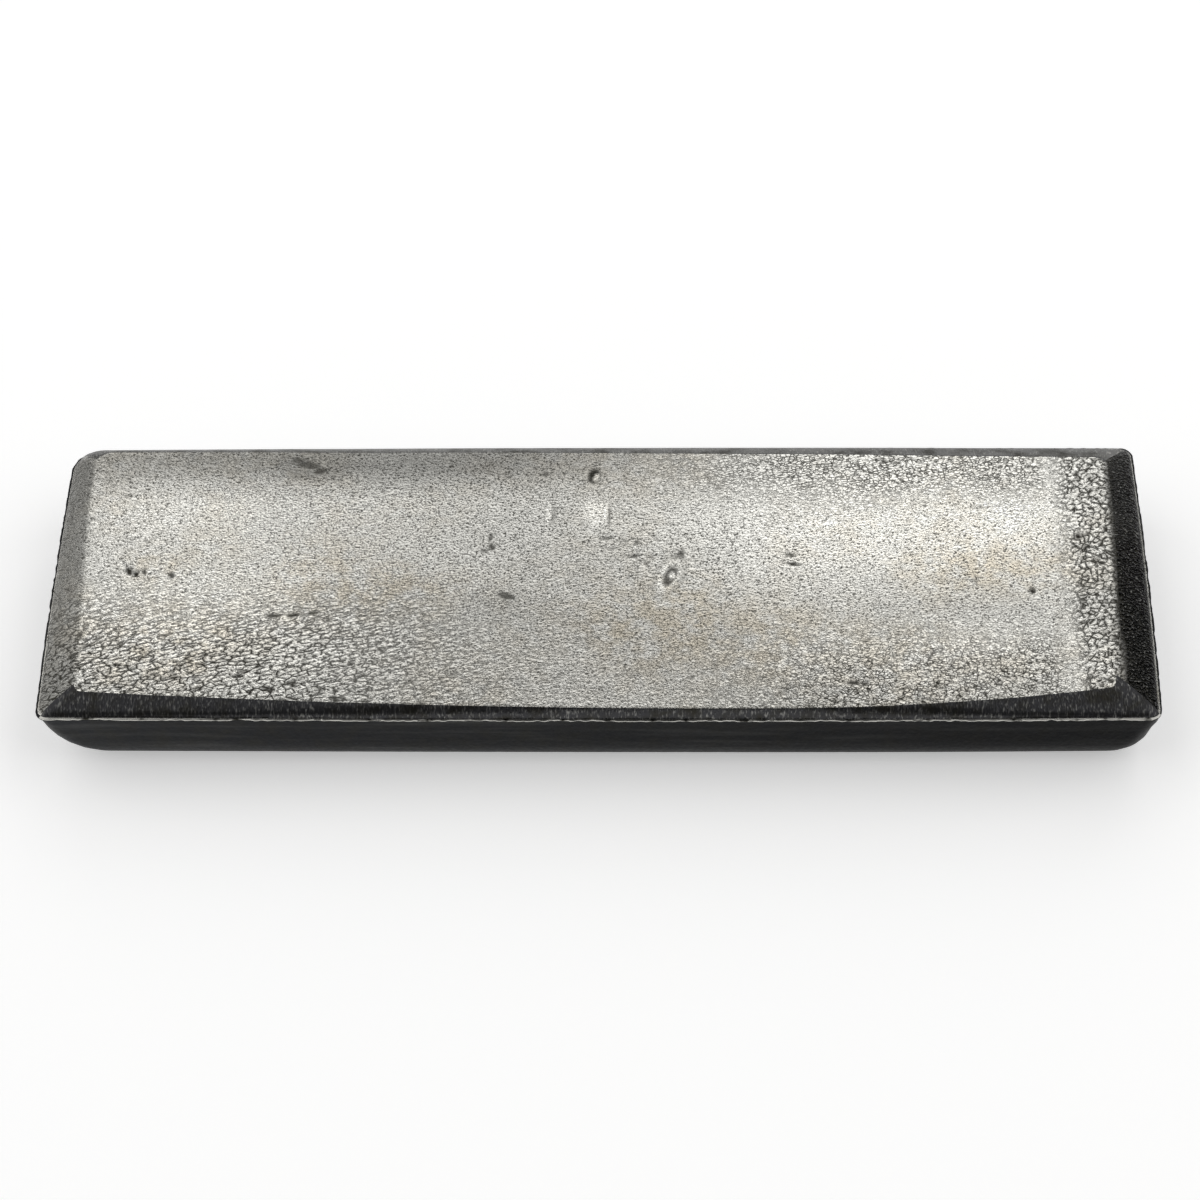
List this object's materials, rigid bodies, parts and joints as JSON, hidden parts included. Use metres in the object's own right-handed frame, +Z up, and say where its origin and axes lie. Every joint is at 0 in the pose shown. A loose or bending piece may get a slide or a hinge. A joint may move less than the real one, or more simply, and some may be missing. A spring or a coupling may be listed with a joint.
{
  "type": "metal ingot",
  "caption": "Poured silver bar with drafted mould walls, a rounded base edge and a leathery free surface, stored and stacked as raw stock.",
  "frame": {"origin": "centre of the bar's outline, on the surface that it lies on", "axes": "+X along the bar, towards the end with the tighter bottom round, +Z up out of the free surface"},
  "size_m": [0.1514, 0.0522, 0.0132],
  "materials": {
    "cast_silver": "as-cast silver: bright leathery free surface, dull dark mould walls"
  },
  "bodies": {
    "root": {"ingot": "cast_silver"}
  },
  "joints": []
}
